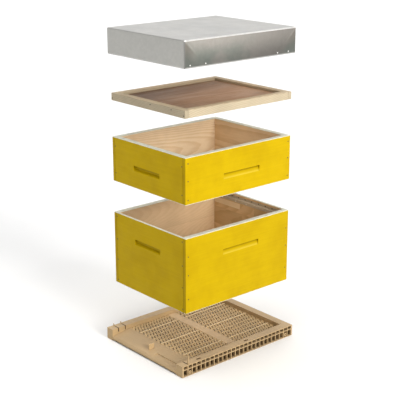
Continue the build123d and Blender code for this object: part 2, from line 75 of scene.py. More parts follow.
class Tree:
    """Short ways to add and join the nodes of one material."""

    def __init__(self, name):
        self.material = bpy.data.materials.new(name)
        self.material.use_nodes = True
        self.links = self.material.node_tree.links
        self.nodes = self.material.node_tree.nodes
        self.shader = self.nodes["Principled BSDF"]
        self.place = self.nodes.new("ShaderNodeTexCoord").outputs["Object"]
        self.x, self.y, self.z = self.apart(self.place)

    def add(self, kind, inputs=None, **settings):
        node = self.nodes.new(kind)
        for key, value in settings.items():
            setattr(node, key, value)
        for key, value in (inputs or {}).items():
            self.put(node.inputs[key], value)
        return node

    def put(self, socket, value):
        if isinstance(value, bpy.types.NodeSocket):
            self.links.new(value, socket)
        elif isinstance(value, tuple) and len(value) == 3 and socket.type == "RGBA":
            socket.default_value = (*value, 1.0)
        else:
            socket.default_value = value

    def apart(self, vector):
        return tuple(self.add("ShaderNodeSeparateXYZ", {0: vector}).outputs)

    def together(self, x, y, z):
        return self.add("ShaderNodeCombineXYZ", {0: x, 1: y, 2: z}).outputs[0]

    def maths(self, operation, a, b=0.0, c=None):
        inputs = {0: a, 1: b} if c is None else {0: a, 1: b, 2: c}
        return self.add("ShaderNodeMath", inputs, operation=operation).outputs[0]

    def plus(self, a, b):
        return self.maths("ADD", a, b)

    def times(self, a, b):
        return self.maths("MULTIPLY", a, b)

    def ramp(self, value, low, high, to_low=0.0, to_high=1.0):
        """value carried smoothly from low..high to to_low..to_high, and held outside them."""
        inputs = {"Value": value, "From Min": low, "From Max": high,
                  "To Min": to_low, "To Max": to_high}
        return self.add("ShaderNodeMapRange", inputs, interpolation_type="SMOOTHSTEP").outputs[0]

    def noise(self, vector, scale, detail=3.0, roughness=0.55, distortion=0.0):
        inputs = {"Vector": vector, "Scale": scale, "Detail": detail,
                  "Roughness": roughness, "Distortion": distortion}
        return self.add("ShaderNodeTexNoise", inputs).outputs["Fac"]

    def stretched(self, vector, stretch, offset=0.0):
        scaled = self.add("ShaderNodeVectorMath", {0: vector, 1: stretch}, operation="MULTIPLY")
        moved = self.add(
            "ShaderNodeVectorMath", {0: scaled.outputs[0], 1: (offset,) * 3}, operation="ADD"
        )
        return moved.outputs[0]

    def random(self, value):
        """A number from 0 to 1 that is fixed for each whole value."""
        noise = self.add("ShaderNodeTexWhiteNoise", {"W": value}, noise_dimensions="1D")
        return noise.outputs["Value"]

    def blend(self, share, a, b, mode="MIX"):
        node = self.nodes.new("ShaderNodeMix")
        node.data_type = "RGBA"
        node.blend_type = mode
        self.put(node.inputs[0], share)
        self.put(node.inputs[6], a)
        self.put(node.inputs[7], b)
        return node.outputs[2]

    def shade(self, colour, factor):
        """colour made brighter or darker by a number."""
        grey = self.together(factor, factor, factor)
        return self.blend(1.0, colour, grey, "MULTIPLY")

    def bump(self, height, depth, after=None):
        """A bump whose height from 0 to 1 stands for depth in metres."""
        inputs = {"Height": height, "Distance": depth, "Strength": 1.0}
        if after is not None:
            inputs["Normal"] = after
        return self.add("ShaderNodeBump", inputs).outputs[0]

    def finish(self, colour, roughness, normal=None, **constants):
        self.put(self.shader.inputs["Base Color"], colour)
        self.put(self.shader.inputs["Roughness"], roughness)
        if normal is not None:
            self.put(self.shader.inputs["Normal"], normal)
        for name, value in constants.items():
            self.shader.inputs[name.replace("_", " ")].default_value = value
        return self.material


# ---- Wood ----------------------------------------------------------------------------

PINE_LIGHT = (0.80, 0.605, 0.375)
PINE_DARK = (0.62, 0.405, 0.21)
PINE_PALE = (0.84, 0.68, 0.45)
CREAM_LIGHT = (0.50, 0.42, 0.29)
CREAM_DARK = (0.365, 0.28, 0.175)


def board_coordinates(t, along):
    """(distance along the grain, across the board, through its thickness)."""
    if along == "x":
        return t.x, t.z, t.y
    return t.y, t.z, t.x


def split_boards(t, length, across, seed, board, start, joint_length):
    """The number of the board at a place, how far off its middle, and how near its glue joints.

    Boards are edge-glued every board metres, and joint_length cuts each into finger-jointed
    lengths, which have their own numbers.
    """
    shifted = t.maths("SUBTRACT", across, start)
    number = t.maths("FLOOR", t.maths("DIVIDE", shifted, board))
    inside = t.maths("SUBTRACT", t.maths("FLOORED_MODULO", shifted, board), board / 2)
    joint = t.maths("ABSOLUTE", t.maths("SUBTRACT", t.maths("ABSOLUTE", inside), board / 2))
    if joint_length:
        stagger = t.times(t.random(t.plus(number, seed + 0.71)), joint_length)
        lengthways = t.maths("DIVIDE", t.plus(t.plus(length, 1.0), stagger), joint_length)
        joint_gap = t.times(t.maths("PINGPONG", lengthways, 0.5), joint_length)
        joint = t.maths("MINIMUM", joint, joint_gap)
        number = t.plus(number, t.times(t.maths("FLOOR", lengthways), 17.0))
    return number, inside, joint


def paler_block(t, length, across, fibre, block, colour, seam):
    """Sets one paler length of board into the colour, with a seam around it."""
    (left, right), (under, over) = block
    beyond = t.maths("MAXIMUM", t.maths("SUBTRACT", left, length),
                     t.maths("SUBTRACT", length, right))
    above = t.maths("MAXIMUM", t.maths("SUBTRACT", under, across),
                    t.maths("SUBTRACT", across, over))
    outside = t.maths("MAXIMUM", beyond, above)
    pale = t.blend(t.ramp(fibre, 0.25, 0.8), PINE_LIGHT, PINE_PALE)
    colour = t.blend(t.ramp(outside, 0.0003, -0.0003), colour, pale)
    rim = t.ramp(t.maths("ABSOLUTE", outside), 0.0011, 0.0002)
    return colour, t.maths("MAXIMUM", seam, rim)


def pine(t, along, seed, light, dark, board=0.5, start=0.0, ring=0.0065, tilt=0.10, pith=0.035,
         wave=0.05, contrast=0.55, joint_length=None, block=None, paler_below=None):
    """Colour and height of flat-sawn pine, and where its dark late wood is.

    The growth rings are nested around a pith behind the board's face.  block is the low and high
    ends, along and across, of one paler length.  Boards numbered below paler_below, counted up
    from start, are paler.
    """
    length, across, through = board_coordinates(t, along)
    number, inside, joint = split_boards(t, length, across, seed, board, start, joint_length)
    chance = t.random(t.plus(number, seed))
    chance_two = t.random(t.plus(number, seed + 0.37))
    centre = t.times(t.maths("SUBTRACT", chance, 0.5), 0.5 * min(board, 0.12))
    wander = t.noise(t.together(t.times(length, 3.0), t.times(across, 5.0), seed), 1.0, 2.0)
    sideways = t.plus(t.maths("SUBTRACT", inside, centre),
                      t.times(t.maths("SUBTRACT", wander, 0.5), wave))
    slope = t.times(t.maths("SUBTRACT", chance_two, 0.5), 2.6 * tilt)
    depth = t.plus(t.plus(t.times(length, slope), pith), through)
    distance = t.maths("SQRT", t.plus(t.times(sideways, sideways), t.times(depth, depth)))
    fine = t.noise(t.together(t.times(length, 14.0), t.times(across, 90.0), seed), 1.0, 3.0)
    rings = t.plus(t.maths("DIVIDE", distance, ring), t.times(fine, 0.45))
    phase = t.maths("FRACT", rings)
    late = t.times(t.ramp(phase, 0.25, 0.86), t.ramp(phase, 1.0, 0.90))
    fibre_place = t.together(t.times(length, 18.0), t.times(across, 900.0), t.times(through, 900.0))
    fibre = t.noise(fibre_place, 1.0, 2.0, 0.7)
    tone = t.plus(0.85, t.times(chance, 0.26))
    if paler_below is not None:
        lighter = t.maths("LESS_THAN", number, paler_below)
        tone = t.times(tone, t.plus(1.0, t.times(lighter, 0.2)))
    colour = t.blend(t.times(late, contrast), light, dark)
    colour = t.shade(colour, t.times(tone, t.ramp(fibre, 0.2, 0.8, 0.93, 1.05)))
    seam = t.ramp(joint, 0.0010, 0.0)
    if block:
        colour, seam = paler_block(t, length, across, fibre, block, colour, seam)
    colour = t.blend(t.times(seam, 0.5), colour, dark)
    height = t.plus(t.times(late, 0.5), t.times(fibre, 0.5))
    return colour, t.maths("SUBTRACT", height, t.times(seam, 1.2)), late


def bare_wood(name, along, seed, light, dark, board=0.5, top_painted_light=1.0, **more):
    """Bare pine; painted light from above makes the upward faces lighter by a given factor."""
    t = Tree(name)
    colour, height, _ = pine(t, along, seed, light, dark, board, **more)
    blotch = t.noise(t.place, 9.0, 2.0)
    colour = t.shade(colour, t.ramp(blotch, 0.3, 0.7, 0.94, 1.04))
    # Painted light on the upward faces.
    facing_up = t.apart(t.add("ShaderNodeTexCoord").outputs["Normal"])[2]
    colour = t.shade(colour, t.ramp(facing_up, 0.5, 0.9, 1.0, top_painted_light))
    roughness = t.ramp(t.noise(t.place, 140.0, 3.0), 0.3, 0.7, 0.52, 0.70)
    return t.finish(colour, roughness, t.bump(height, 0.00025), Specular_IOR_Level=0.25)


# ---- Painted boxes -------------------------------------------------------------------

YELLOW = (0.545, 0.366, 0.002)
YELLOW_DEEP = (0.49, 0.322, 0.0015)
# Painted light on the finger grips' lower slopes.
YELLOW_SLOPE_LIGHT = (0.66, 0.50, 0.05)
EDGE_WHITE = (0.72, 0.725, 0.61)
WALL = 22 * MM
TONGUE = 14 * MM              # the lapped long wall's end, seen on the short wall's face
REST_DROP = 18 * MM           # from the wall's top to the frame rest
SIDE_PAINT = 10.6 * MM        # how deep the paint reaches in the long walls' finger grips
END_PAINT = 9.6 * MM          # the same in the short walls, below the frame rest
END_SKIN = 4 * MM             # and beside the frame rest
HALF_WIDTH = BROOD_HIGH.x
HALF_LENGTH = BROOD_HIGH.y - HIVE_Y


def wall_wood(t, along, seed, light, dark, depth_y, top, rest_light_and_shade, painted_front_shade, boards):
    """The bare inside: stains, painted shade towards the front, and optionally painted light on the
    frame rest and painted shadow behind the runner.
    """
    wood, height, late = pine(t, along, seed, light, dark, **boards)
    # Painted shade: the bare wood darker towards the front.
    wood = t.shade(wood, t.ramp(t.y, HIVE_Y - 0.16, HIVE_Y + 0.18, painted_front_shade, 1.0))
    stain = t.noise(t.place, 7.0, 3.0)
    wood = t.shade(wood, t.ramp(stain, 0.3, 0.7, 0.92, 1.05))
    if rest_light_and_shade:
        # Painted light on the frame rest's back, and a painted shadow on the wood behind the
        # runner, which shows through its notches.
        above_rest = t.ramp(t.z, top - REST_DROP - 0.6 * MM, top - REST_DROP + 0.6 * MM)
        in_rest = t.times(t.ramp(depth_y, 18 * MM, 14 * MM), above_rest)
        runner_shadow = t.times(in_rest, t.ramp(t.z, top - 9.4 * MM, top - 10.2 * MM))
        wood = t.shade(wood, t.ramp(in_rest, 0.0, 1.0, 1.0, 1.2))
        wood = t.shade(wood, t.ramp(runner_shadow, 0.0, 1.0, 1.0, 0.03))
    return wood, height, late


def wall_paint(t, seed, depth_x, depth_y, arris, ledge, coat_shade):
    """Yellow paint and its streaks, with painted shade in the finger grips and at the corner laps,
    and painted light on the grips' lower slopes.
    """
    mottle = t.noise(t.place, 11.0, 3.0, 0.6)
    streak = t.noise(t.stretched(t.place, (5.0, 5.0, 160.0), seed), 1.0, 3.0)
    paint = t.blend(t.ramp(mottle, 0.35, 0.75), YELLOW, YELLOW_DEEP)
    # The paint factor darkens the paint; on the end walls this is painted shade for faces turned
    # from the light.
    paint = t.shade(paint, t.ramp(streak, 0.25, 0.75, 0.965 * coat_shade, 1.03 * coat_shade))

    in_side_grip = t.times(t.ramp(depth_x, 0.4 * MM, 1.4 * MM),
                           t.ramp(depth_y, WALL, WALL + 2 * MM))
    in_end_grip = t.times(t.ramp(depth_y, 0.4 * MM, 1.4 * MM),
                          t.ramp(depth_x, WALL, WALL + 2 * MM))
    below_ledge = t.maths("SUBTRACT", ledge, t.z)
    shadow = t.times(t.maths("MAXIMUM", in_side_grip, in_end_grip),
                     t.ramp(below_ledge, 13 * MM, 1.5 * MM))
    paint = t.shade(paint, t.ramp(shadow, 0.0, 1.0, 1.0, 0.58))
    # Painted light on the long walls' grip slopes below the ledge.
    slope = t.times(in_side_grip, t.ramp(below_ledge, 11 * MM, 20 * MM))
    paint = t.blend(t.times(slope, 0.55), paint, YELLOW_SLOPE_LIGHT)

    on_end = t.ramp(depth_y, 1.0 * MM, 0.4 * MM)
    off_lap = t.maths("ABSOLUTE", t.maths("SUBTRACT", depth_x, TONGUE))
    seam = t.times(on_end, t.ramp(off_lap, 1.1 * MM, 0.4 * MM))
    # The lapped tongue ends are darker: partly their end grain, partly painted shade matching the
    # end walls.
    lapped = t.times(on_end, t.ramp(depth_x, TONGUE + 0.3 * MM, TONGUE - 0.3 * MM))
    paint = t.shade(paint, t.ramp(seam, 0.0, 1.0, 1.0, 0.5))
    paint = t.shade(paint, t.ramp(lapped, 0.0, 1.0, 1.0, 0.80))
    rub = t.noise(t.place, 260.0, 3.0)
    rubbed = t.times(t.ramp(arris, 5 * MM, 1 * MM), t.ramp(rub, 0.52, 0.62, 0.0, 0.5))
    return t.blend(rubbed, paint, YELLOW_DEEP), streak


def painted_wall(name, along, seed, bottom, top, ledge, light, dark, coat_shade=1.0, rest_light_and_shade=False,
                 painted_front_shade=1.0, **boards):
    """Yellow outside, greyish white on the upper and lower edges, and bare pine inside.

    ledge is the level of the finger grips' upper edges, with painted shadow under them.  The paint
    factor below 1 darkens the paint, painted shade on the end walls, and the front factor below 1
    paints shade on the bare wood, darker towards the front.
    """
    t = Tree(name)
    depth_x = t.maths("SUBTRACT", HALF_WIDTH, t.maths("ABSOLUTE", t.x))
    off_centre = t.maths("ABSOLUTE", t.maths("SUBTRACT", t.y, HIVE_Y))
    depth_y = t.maths("SUBTRACT", HALF_LENGTH, off_centre)
    arris = t.maths("MINIMUM", t.maths("SUBTRACT", top, t.z), t.maths("SUBTRACT", t.z, bottom))
    wood, wood_height, late = wall_wood(
        t, along, seed, light, dark, depth_y, top, rest_light_and_shade, painted_front_shade, boards
    )
    paint, streak = wall_paint(t, seed, depth_x, depth_y, arris, ledge, coat_shade)

    near_side = t.maths("LESS_THAN", depth_x, SIDE_PAINT)
    near_end = t.maths("LESS_THAN", depth_y, END_SKIN)
    below_rest = t.ramp(t.z, top - REST_DROP - 1 * MM, top - REST_DROP - 3 * MM)
    grip = t.times(t.maths("LESS_THAN", depth_y, END_PAINT), below_rest)
    outside = t.maths("MAXIMUM", near_side, t.maths("MAXIMUM", near_end, grip))
    edge_line = t.plus(0.9 * MM, t.times(t.noise(t.place, 45.0, 2.0), 1.6 * MM))
    on_edge = t.maths("LESS_THAN", arris, edge_line)
    dirt = t.noise(t.place, 55.0, 4.0, 0.65)
    edge = t.shade(EDGE_WHITE, t.ramp(dirt, 0.3, 0.75, 0.84, 1.08))
    colour = t.blend(outside, wood, paint)
    colour = t.blend(on_edge, colour, edge)

    painted = t.maths("MAXIMUM", outside, on_edge)
    bare = t.maths("SUBTRACT", 1.0, painted)
    stipple = t.noise(t.place, 700.0, 2.0)
    grain = t.plus(t.times(late, 0.25), t.times(streak, 0.5))
    paint_height = t.plus(t.times(stipple, 0.5), grain)
    height = t.plus(t.times(painted, paint_height), t.times(bare, wood_height))
    sheen = t.ramp(t.noise(t.place, 35.0, 4.0), 0.3, 0.7, 0.40, 0.54)
    roughness = t.plus(t.times(painted, sheen), t.times(bare, 0.66))
    return t.finish(colour, roughness, t.bump(height, 0.00022),
                    Specular_IOR_Level=0.07, Specular_Tint=(1.0, 0.82, 0.15, 1.0))


# ---- Metals --------------------------------------------------------------------------

# Painted reflection and shade on the roof sheet's sides, folds and end faces, and a painted
# highlight on its top bend.
SIDE_REFLECTION_BROWN = (0.245, 0.228, 0.205)
SIDE_REFLECTION_GREEN = (0.165, 0.182, 0.158)
FOLD_SHADE_BROWN = (0.17, 0.148, 0.122)
END_SHADE_GREY = (0.415, 0.41, 0.385)
BEND_HIGHLIGHT = (0.95, 0.94, 0.91)
SHEET_DROP = ROOF_HIGH.z + STEEL - ROOF_LOW.z


def galvanised(name, light, dark, metallic=0.9, roof=False):
    """Zinc-coated sheet with a soft spangle, rolling marks and handling smears."""
    t = Tree(name)
    cells = t.add("ShaderNodeTexVoronoi", {"Vector": t.place, "Scale": 95.0, "Randomness": 1.0})
    spangle = t.apart(cells.outputs["Color"])[0]
    cloud = t.noise(t.place, 9.0, 4.0, 0.55, 0.4)
    rolled = t.noise(t.stretched(t.place, (9.0, 260.0, 9.0)), 1.0, 3.0)
    colour = t.blend(t.ramp(cloud, 0.3, 0.7), light, dark)
    if roof:
        # Painted reflection and shade on the roof sheet.
        colour = roof_painted_light(t, colour)
    colour = t.shade(colour, t.times(t.ramp(spangle, 0.0, 1.0, 0.965, 1.03),
                                     t.ramp(rolled, 0.3, 0.7, 0.985, 1.015)))
    smear = t.noise(t.place, 16.0, 5.0, 0.62)
    roughness = t.plus(t.ramp(smear, 0.3, 0.72, 0.34, 0.46), t.times(spangle, 0.06))
    height = t.plus(t.times(spangle, 0.3), t.times(rolled, 0.5))
    return t.finish(colour, roughness, t.bump(height, 0.00005), Metallic=metallic)


def roof_painted_light(t, top_colour):
    """Painted reflection and shade: duller sides than top; the long ones darken downwards, towards
    the far end, in their lower corners and folds, with painted highlights.
    """
    normal = t.apart(t.add("ShaderNodeTexCoord").outputs["Normal"])
    on_long = t.ramp(t.maths("ABSOLUTE", normal[0]), 0.80, 0.99)
    on_end = t.ramp(t.maths("ABSOLUTE", normal[1]), 0.80, 0.99)
    from_end = t.maths("SUBTRACT", ROOF_HALF_LENGTH,
                       t.maths("ABSOLUTE", t.maths("SUBTRACT", t.y, HIVE_Y)))
    down = t.maths("SUBTRACT", ROOF_HIGH.z + STEEL, t.z)
    wander = t.times(t.maths("SUBTRACT", t.noise(t.place, 9.0, 3.0), 0.5), 0.10)
    # Brown and green patches: painted reflection.
    patch = t.noise(t.stretched(t.place, (1.0, 1.0, 1.6), 4.7), 8.0, 3.0, 0.5)
    patch = t.times(t.ramp(patch, 0.40, 0.68), t.ramp(down, 0.015, 0.08, 0.25, 1.0))
    side = t.blend(patch, SIDE_REFLECTION_BROWN, SIDE_REFLECTION_GREEN)
    # Painted shade: the long sides darker downwards and towards the far end.
    side = t.shade(side, t.ramp(down, 0.004, 0.088, 1.55, 0.74))
    side = t.shade(side, t.ramp(t.y, HIVE_Y - 0.12, ROOF_HALF_LENGTH + HIVE_Y, 1.0, 0.64))
    # Painted shade in the long sides' lower corners.
    corner = t.plus(t.plus(from_end, t.maths("SUBTRACT", SHEET_DROP, down)), wander)
    corner = t.ramp(corner, 0.115, 0.035)
    side = t.blend(t.times(corner, 0.8), side, SIDE_REFLECTION_GREEN)
    side = t.shade(side, t.ramp(corner, 0.0, 1.0, 1.0, 0.78))
    # Painted shade in the folded triangles, painted highlight on their ridges.
    off_fold = t.maths("SUBTRACT", from_end, down)
    faded = t.ramp(down, 0.075, 0.012)
    folded = t.times(t.ramp(off_fold, 0.004, -0.010), faded)
    side = t.blend(t.times(folded, 0.75), side, FOLD_SHADE_BROWN)
    ridge = t.times(t.ramp(t.maths("ABSOLUTE", off_fold), 0.011, 0.0), faded)
    side = t.shade(side, t.ramp(ridge, 0.0, 1.0, 1.0, 1.16))
    lap = t.times(t.ramp(from_end, 4.5 * MM, 2.5 * MM), t.ramp(down, 3 * MM, 6 * MM))
    # Painted shade: the end faces a darker grey than the top.
    colour = t.blend(on_end, top_colour, END_SHADE_GREY)
    colour = t.blend(on_long, colour, side)
    # Painted highlight along the top bend, painted shade on the upright bends.
    sideways = t.maths("ABSOLUTE", normal[0])
    along_bend = t.times(t.ramp(sideways, 0.12, 0.35), t.ramp(down, 5.5 * MM, 3.0 * MM))
    colour = t.blend(t.times(along_bend, 0.85), colour, BEND_HIGHLIGHT)
    upright_bend = t.times(lap, t.ramp(sideways, 0.10, 0.30))
    return t.shade(colour, t.ramp(upright_bend, 0.0, 1.0, 1.0, 0.45))


def steel(name, light, dark, roughness_low, roughness_high, metallic=0.85):
    """Nail steel with fine scratches and specks."""
    t = Tree(name)
    speck = t.noise(t.place, 900.0, 3.0, 0.6)
    scratch = t.noise(t.stretched(t.place, (300.0, 2400.0, 900.0)), 1.0, 2.0)
    colour = t.blend(t.ramp(speck, 0.35, 0.7), light, dark)
    roughness = t.ramp(scratch, 0.3, 0.7, roughness_low, roughness_high)
    return t.finish(colour, roughness, t.bump(scratch, 0.00008), Metallic=metallic)


# ---- Plastic -------------------------------------------------------------------------

TAN = (0.52, 0.375, 0.212)
# Painted shade on upright plastic faces.
TAN_UPRIGHT_SHADE = (0.40, 0.268, 0.122)
SCREEN_TAN = (0.60, 0.43, 0.225)
# Painted highlight on the screens' rib tops.
RIB_HIGHLIGHT_TAN = (0.92, 0.76, 0.50)
# Painted light: the crossbar's tan lighter than the rails'.
CROSSBAR_LIT_TAN = (0.71, 0.52, 0.305)
POCKET_DARK = (0.085, 0.05, 0.02)
SLOT_DARK = (0.10, 0.055, 0.025)
# Painted shade on the screens' slot walls.
SLOT_SHADE_BROWN = (0.17, 0.095, 0.03)
POCKET_BOTTOM = 31 * MM       # a little behind the pockets' bottoms, from the rail's outer face
DENT_STARTS = (-200 * MM, 35 * MM)
DENT_LENGTH = 20 * MM
DENT_X = 210.5 * MM
DENT_HALF_WIDTH = 4 * MM
GATE_SLOT_FOOT = 28 * MM      # the floor's level at the bottom of the gate slots
GATE_SLOTS = ((-249 * MM, 1.0), (-249 * MM, -1.0), (-216 * MM, 1.0))   # y, and 1.0 for the left
LINE_PITCH = 11 * MM          # between the faint lines across the deck


def dark_pockets(t, colour, inside):
    """Shade that deepens inwards in the pockets of the rails' outer faces."""
    below_top = t.ramp(t.z, FLOOR_HIGH.z - 2.4 * MM, FLOOR_HIGH.z - 3.2 * MM)
    deep = t.times(t.ramp(inside, 5 * MM, 16 * MM), below_top)
    from_end = t.maths("SUBTRACT", FLOOR_HIGH.y, t.maths("ABSOLUTE", t.y))
    within = t.times(t.ramp(inside, POCKET_BOTTOM, POCKET_BOTTOM - 1.5 * MM),
                     t.ramp(from_end, 5.0 * MM, 5.9 * MM))
    return t.blend(t.times(t.times(deep, within), 0.92), colour, POCKET_DARK)


def dark_dents(t, colour):
    """Shade in the dents of the right-hand rail's top."""
    off_line = t.maths("ABSOLUTE", t.maths("SUBTRACT", t.x, DENT_X))
    beside = t.maths("LESS_THAN", off_line, DENT_HALF_WIDTH + 0.2 * MM)
    sunk = t.ramp(t.z, FLOOR_HIGH.z - 0.3 * MM, FLOOR_HIGH.z - 0.9 * MM)
    for start in DENT_STARTS:
        off = t.maths("ABSOLUTE", t.maths("SUBTRACT", t.y, start + DENT_LENGTH / 2))
        dent = t.times(t.maths("LESS_THAN", off, DENT_LENGTH / 2 + 0.2 * MM), beside)
        colour = t.blend(t.times(t.times(dent, sunk), 0.9), colour, SLOT_DARK)
    return colour


def dark_gate_slots(t, colour, inside):
    """Shade on the sides of the upright gate slots."""
    above_foot = t.ramp(t.z, GATE_SLOT_FOOT - 0.2 * MM, GATE_SLOT_FOOT + 0.2 * MM)
    cut = t.times(t.ramp(inside, 1.9 * MM, 2.3 * MM), above_foot)
    for slot, side in GATE_SLOTS:
        gap = t.maths("ABSOLUTE", t.maths("SUBTRACT", t.y, slot))
        here = t.times(cut, t.maths("LESS_THAN", t.times(t.x, side), 0.0))
        colour = t.blend(t.times(here, t.ramp(gap, 2.3 * MM, 1.6 * MM)), colour, SLOT_DARK)
    return colour


def moulded(name, light=TAN, dark=TAN_UPRIGHT_SHADE, rail=False, lines=False, screen=False):
    """Satin moulded plastic: faint flow marks, a fine grain and painted shade on upright faces.

    rail adds shade in the rails' pockets, dents and gate slots, lines adds faint lines across
    the hive, and screen paints shade on the slots' walls and highlights on the ribs.
    """
    t = Tree(name)
    flow = t.noise(t.stretched(t.place, (5.0, 14.0, 30.0)), 1.0, 4.0, 0.6, 0.6)
    grain = t.noise(t.place, 1500.0, 2.0)
    cloud = t.noise(t.place, 14.0, 3.0)
    normal = t.add("ShaderNodeTexCoord").outputs["Normal"]
    # Painted shade on the upright faces.
    upright = t.ramp(t.maths("ABSOLUTE", t.apart(normal)[2]), 0.75, 0.25)
    colour = t.blend(t.times(upright, 0.55), light, dark)
    colour = t.shade(colour, t.times(t.ramp(flow, 0.3, 0.7, 0.94, 1.04),
                                     t.ramp(cloud, 0.3, 0.7, 0.96, 1.03)))
    if rail:
        inside = t.maths("SUBTRACT", FLOOR_HIGH.x, t.maths("ABSOLUTE", t.x))
        colour = dark_pockets(t, colour, inside)
        colour = dark_dents(t, colour)
        colour = dark_gate_slots(t, colour, inside)
    if screen:
        # Painted shade on the slots' walls and painted highlight on the rib tops.
        sunk = t.ramp(t.z, SCREEN_TOP - 0.2 * MM, SCREEN_TOP - 1.8 * MM)
        colour = t.blend(t.times(sunk, 0.34), colour, SLOT_SHADE_BROWN)
        on_rib = t.ramp(t.z, SCREEN_TOP + 1.2 * MM, SCREEN_TOP + 1.7 * MM)
        colour = t.blend(on_rib, colour, RIB_HIGHLIGHT_TAN)
    height = t.plus(t.times(grain, 0.35), t.times(flow, 0.4))
    roughness = t.ramp(t.noise(t.place, 70.0, 4.0), 0.3, 0.7, 0.40, 0.56)
    bump = t.bump(height, 0.00012)
    if lines:
        to_line = t.maths("PINGPONG", t.plus(t.y, 1.0), LINE_PITCH / 2)
        line = t.ramp(to_line, 0.5 * MM, 0.0)
        bump = t.bump(t.maths("SUBTRACT", 1.0, line), 0.00035, bump)
        colour = t.shade(colour, t.ramp(line, 0.0, 1.0, 1.0, 0.93))
    return t.finish(colour, roughness, bump, Specular_IOR_Level=0.18)


# ---- The inner cover's panel ---------------------------------------------------------

def hardboard(name):
    """Thin red-brown board with streaks along the hive and small pores."""
    t = Tree(name)
    streak = t.noise(t.stretched(t.place, (45.0, 5.0, 45.0)), 1.0, 6.0, 0.68, 0.8)
    band = t.noise(t.stretched(t.place, (9.0, 1.6, 9.0), 2.0), 1.0, 3.0)
    pore = t.noise(t.stretched(t.place, (900.0, 45.0, 900.0)), 1.0, 2.0, 0.7)
    colour = t.blend(t.ramp(streak, 0.3, 0.72), (0.50, 0.335, 0.22), (0.385, 0.235, 0.145))
    colour = t.shade(colour, t.times(t.ramp(band, 0.3, 0.7, 0.88, 1.12),
                                     t.ramp(pore, 0.3, 0.7, 0.90, 1.06)))
    # Painted light and shade: darker towards the near left corner, lighter towards the far right.
    diagonal_light = t.plus(t.x, t.maths("SUBTRACT", t.y, HIVE_Y))
    colour = t.shade(colour, t.ramp(diagonal_light, -0.32, 0.28, 0.58, 1.14))
    roughness = t.ramp(streak, 0.3, 0.7, 0.48, 0.66)
    bump = t.bump(t.plus(pore, streak), 0.00015)
    return t.finish(colour, roughness, bump, Specular_IOR_Level=0.2)


# ---- Fine edges on the CAD nodes -----------------------------------------------------

def soften(name, width, segments=2, angle=30.0):
    """Rounds a CAD node's sharp edges a little, without touching its own mesh."""
    node = nodes[name]
    weld = node.modifiers.new("join", "WELD")
    weld.merge_threshold = 0.00001
    flat = node.modifiers.new("flatten", "DECIMATE")
    flat.decimate_type = "DISSOLVE"
    flat.angle_limit = math.radians(0.5)
    bevel = node.modifiers.new("edges", "BEVEL")
    bevel.limit_method = "ANGLE"
    bevel.angle_limit = math.radians(angle)
    bevel.width = width
    bevel.segments = segments
    bevel.use_clamp_overlap = True
    smooth = node.modifiers.new("shading", "WEIGHTED_NORMAL")
    smooth.keep_sharp = False
    for face in node.data.polygons:
        face.use_smooth = True


def dress(name, material):
    """Gives a CAD node one material."""
    data = nodes[name].data
    data.materials.clear()
    data.materials.append(material)
    for face in data.polygons:
        face.material_index = 0


# ---- Boxes ---------------------------------------------------------------------------

BROOD_TOP = BROOD_HIGH.z
PALE_BLOCK = ((-0.1845, -0.035), (BROOD_TOP - 0.054, BROOD_TOP - 0.031))
# Paint factors below 1 darken the paint, painted shade on the end walls; the brood sides' front
# factor paints shade towards the front.
BROOD_SIDE = {
    "light": (0.64, 0.465, 0.285), "dark": (0.48, 0.31, 0.165), "contrast": 0.2, "coat_shade": 0.92,
    "painted_front_shade": 0.74, "board": 0.112, "start": BROOD_TOP - 0.224, "ring": 0.0036, "wave": 0.03,
    "paler_below": 0.5,
}
BROOD_END = {
    "light": (0.70, 0.49, 0.265), "dark": (0.48, 0.29, 0.135), "contrast": 0.4, "coat_shade": 0.86,
    "rest_light_and_shade": True, "board": 0.07, "start": BROOD_LOW.z, "ring": 0.0048, "joint_length": 0.23,
}
SUPER_SIDE = {
    "light": (0.83, 0.645, 0.425), "dark": (0.60, 0.38, 0.20), "contrast": 0.42, "board": 0.2,
    "start": SUPER_LOW.z, "ring": 0.0034, "wave": 0.04, "tilt": 0.16,
}
SUPER_END = {
    "light": (0.76, 0.56, 0.34), "dark": (0.54, 0.335, 0.165), "contrast": 0.5, "coat_shade": 0.89,
    "board": 0.2, "start": SUPER_LOW.z, "ring": 0.0042, "wave": 0.03, "tilt": 0.03,
}
WALL_WOOD = {
    "brood": {"right": BROOD_SIDE, "left": BROOD_SIDE, "front": BROOD_END,
              "rear": {**BROOD_END, "block": PALE_BLOCK}},
    "super": {"right": SUPER_SIDE, "left": SUPER_SIDE, "front": SUPER_END, "rear": SUPER_END},
}
BROOD_GRIP_LEVEL = 202 * MM   # the finger grips' upper edges, above the box's bottom
SUPER_GRIP_LEVEL = 82 * MM


def finish_box(prefix, low, high, grip_level):
    """Paint and wood for the four walls of a box."""
    for number, wall in enumerate(WALLS):
        name = f"{prefix}_{wall}_wall"
        along = "y" if wall in ("right", "left") else "x"
        seed = 3.0 + 11.0 * number + (50.0 if prefix == "super" else 0.0)
        finish = painted_wall(
            f"{prefix}_{wall}_finish", along, seed, low.z, high.z, low.z + grip_level,
            **WALL_WOOD[prefix][wall]
        )
        dress(name, finish)
        soften(name, 1.3 * MM)


finish_box("brood", BROOD_LOW, BROOD_HIGH, BROOD_GRIP_LEVEL)
finish_box("super", SUPER_LOW, SUPER_HIGH, SUPER_GRIP_LEVEL)

dull_nail = steel("dull_nail", (0.055, 0.042, 0.02), (0.03, 0.022, 0.012), 0.50, 0.70, 0.2)
bright_nail = steel("bright_nail", (0.95, 0.94, 0.91), (0.80, 0.79, 0.76), 0.22, 0.38, 0.45)
for name in ("brood_wall_nails", "super_wall_nails", "inner_nails"):
    dress(name, dull_nail)
for name in ("brood_runner_nails", "roof_nails"):
    dress(name, bright_nail)

